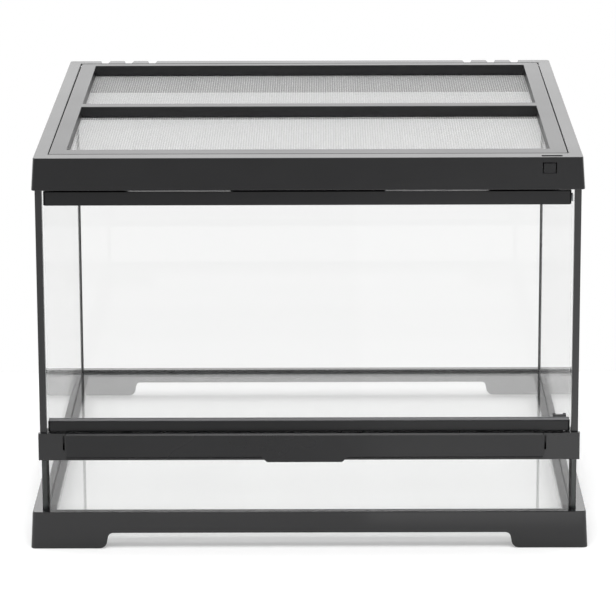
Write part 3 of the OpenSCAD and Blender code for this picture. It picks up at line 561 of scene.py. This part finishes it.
# ---------------------------------------------------------------------------
# Latch bar: a long black moulding on the strip's face, with a finger tab in
# the middle. Two clips and two screws hold it through slots in the strip, and
# two springs of drawn wire, plain sleeves here, push it up.

BAR_ROUND = 0.0009
SPRING_STEEL = (0.55, 0.55, 0.56)

bar_plastic = moulded("bar_black_moulding", BLACK_RESIN, gloss=0.28, index=1.38)
clip_plastic = moulded("clip_black_moulding", BLACK_RESIN, gloss=0.40)
spring_wire = drawn("spring_steel_wire", SPRING_STEEL, 1, along=(1, 0, 0), fineness=1500, gloss=(0.22, 0.36))
softened("latch_bar", BAR_ROUND, bar_plastic)
dress(clip_plastic, "latch_clips")
dress(spring_wire, "latch_springs", "latch_screws")

# ---------------------------------------------------------------------------
# Door: one pane with a black rail pressed on its top and bottom edges, a grey
# end cap on the hinge side and two steel pins to turn on. The lower pin lifts
# with a small slider behind the corner, which lets the door off.

RAIL_ROUND = 0.0004
CAP_ROUND = 0.0004
CAP_EDGE = 0.002
GREY_RESIN = (0.25, 0.26, 0.27)
PIN_STEEL = (0.60, 0.60, 0.61)
# The next two give the height and the colour of a painted highlight along the bottom rail's upper lip.
LIP_HEIGHT = 0.0013
PAINTED_LIP_HIGHLIGHT = (0.20, 0.20, 0.205, 1)

rail_plastic = moulded("rail_black_moulding", BLACK_RESIN, gloss=0.30, index=1.33)
grey_plastic = moulded("grey_moulding", GREY_RESIN, gloss=0.42, mottle=0.25)
pin_steel = drawn("turned_pin_steel", PIN_STEEL, 1, along=(0, 0, 1), fineness=1200, gloss=(0.16, 0.28))
dress(upright_pane, "door_glass")
softened("door_top_rail", RAIL_ROUND, rail_plastic)

# The bottom rail's upper lip is painted paler, in a band LIP_HEIGHT high:
# a painted highlight that stands in for the grazing reflection off its top face.
low_rail_plastic = moulded("low_rail_black_moulding", BLACK_RESIN, gloss=0.30, index=1.33)
tree = low_rail_plastic.node_tree
rail_colour = tree.nodes["Principled BSDF"].inputs["Base Color"]
resin = rail_colour.links[0].from_socket
where = add(tree, "ShaderNodeTexCoord")
split = add(tree, "ShaderNodeSeparateXYZ")
above = add(tree, "ShaderNodeMath", {1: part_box("door_bottom_rail")[1].z - LIP_HEIGHT}, operation="GREATER_THAN")
lip_highlight = add(tree, "ShaderNodeMix", {7: PAINTED_LIP_HIGHLIGHT}, data_type="RGBA")
join(tree,
     (where.outputs["Object"], split.inputs[0]),
     (split.outputs["Z"], above.inputs[0]),
     (above.outputs[0], lip_highlight.inputs["Factor"]),
     (resin, lip_highlight.inputs[6]),
     (lip_highlight.outputs[2], rail_colour))
softened("door_bottom_rail", RAIL_ROUND, low_rail_plastic)
softened("top_rail_cap", CAP_ROUND, grey_plastic, shortest=CAP_EDGE)
dress(rail_plastic, "pin_slider")
dress(pin_steel, "top_hinge_pin", "bottom_hinge_pin")

# ---------------------------------------------------------------------------
# Top frame: one black moulding over the panes' top edges, with cable notches
# at the back, comb shutters behind them and a press tab at the front right.

FRAME_ROUND = 0.0006
TAB_ROUND = 0.0003
TAB_EDGE = 0.004

frame_plastic = moulded("frame_black_moulding", BLACK_RESIN, gloss=0.31, index=1.46)
gate_plastic = moulded("gate_black_moulding", BLACK_RESIN, gloss=0.36)
softened("top_frame", FRAME_ROUND, frame_plastic)
softened("release_tab", TAB_ROUND, frame_plastic, shortest=TAB_EDGE)
dress(gate_plastic, "left_cable_gate", "right_cable_gate")

# ---------------------------------------------------------------------------
# Screen cover: a black moulded frame with a cross bar, hinged at the back on
# two steel pins. Each window holds a sheet of fine galvanised mesh, clamped
# from below by a thin retainer. The mesh is two layers of straight wires.

COVER_ROUND = 0.0007
WIRE_PITCH = 0.00215
WIRE_THICK = 0.00030
WARP_WIDTH = 0.00037
ZINC_DARK = (0.55, 0.55, 0.55, 1)
ZINC_LIGHT = (0.70, 0.70, 0.70, 1)
ZINC_ROUGHNESS = 0.62
ZINC_SCALE = 300

cover_plastic = moulded("cover_black_moulding", BLACK_RESIN, gloss=0.35, index=1.46)
cover_pin_steel = drawn("cover_pin_steel", PIN_STEEL, 1, along=(1, 0, 0), fineness=1200, gloss=(0.16, 0.28))
softened("cover_frame", COVER_ROUND, cover_plastic)
dress(cover_plastic, "front_retainer", "rear_retainer")
dress(cover_pin_steel, "cover_hinge_pins")


def wires(low, high, along, level, width):
    """Straight wires along x (0) or y (1), one layer at height level.

    Wire k is centred at start + k * WIRE_PITCH across the sheet, and runs from low to high along it. Its section is a
    diamond, WIRE_THICK high and width across.
    """
    across = 1 - along
    count = int((high[across] - low[across]) / WIRE_PITCH)
    start = (low[across] + high[across]) / 2 - (count - 1) / 2 * WIRE_PITCH
    corner = np.array([[-1, 0], [0, -1], [1, 0], [0, 1]]) * [width / 2, WIRE_THICK / 2]
    k, end, c = np.meshgrid(np.arange(count), np.arange(2), np.arange(4), indexing="ij")
    points = np.zeros(k.shape + (3,))
    points[..., along] = np.array([low[along], high[along]])[end]
    points[..., across] = start + WIRE_PITCH * k + corner[c, 0]
    points[..., 2] = level + corner[c, 1]
    one_wire = np.array([[0, 1, 5, 4], [1, 2, 6, 5], [2, 3, 7, 6], [3, 0, 4, 7], [3, 2, 1, 0], [4, 5, 6, 7]])
    if along == 0:
        one_wire = one_wire[:, ::-1]
    return points.reshape(-1, 3), (one_wire[None] + 8 * np.arange(count)[:, None, None]).reshape(-1, 4)


mesh_wire, tree, shader = material("galvanised_wire")
preset(shader, {"Metallic": 1, "Roughness": ZINC_ROUGHNESS})
where = add(tree, "ShaderNodeTexCoord")
zinc = add(tree, "ShaderNodeTexNoise", {"Scale": ZINC_SCALE})
zinc_shade = add(tree, "ShaderNodeMix", {6: ZINC_DARK, 7: ZINC_LIGHT}, data_type="RGBA")
join(tree,
     (where.outputs["Object"], zinc.inputs["Vector"]),
     (zinc.outputs["Fac"], zinc_shade.inputs["Factor"]),
     (zinc_shade.outputs[2], shader.inputs["Base Color"]))

for name in ("front_screen", "rear_screen"):
    low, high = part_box(name)
    middle = (low.z + high.z) / 2
    weft, weft_faces = wires(low, high, 0, middle - WIRE_THICK / 2, WIRE_THICK)
    warp, warp_faces = wires(low, high, 1, middle + WIRE_THICK / 2, WARP_WIDTH)
    points = np.concatenate([weft, warp])
    faces = np.concatenate([weft_faces, warp_faces + len(weft)])
    mesh_sheet = shape(name + "_wires", points, faces)
    mesh_sheet.data.materials.append(mesh_wire)
    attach(mesh_sheet, "cover")
    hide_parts(name)
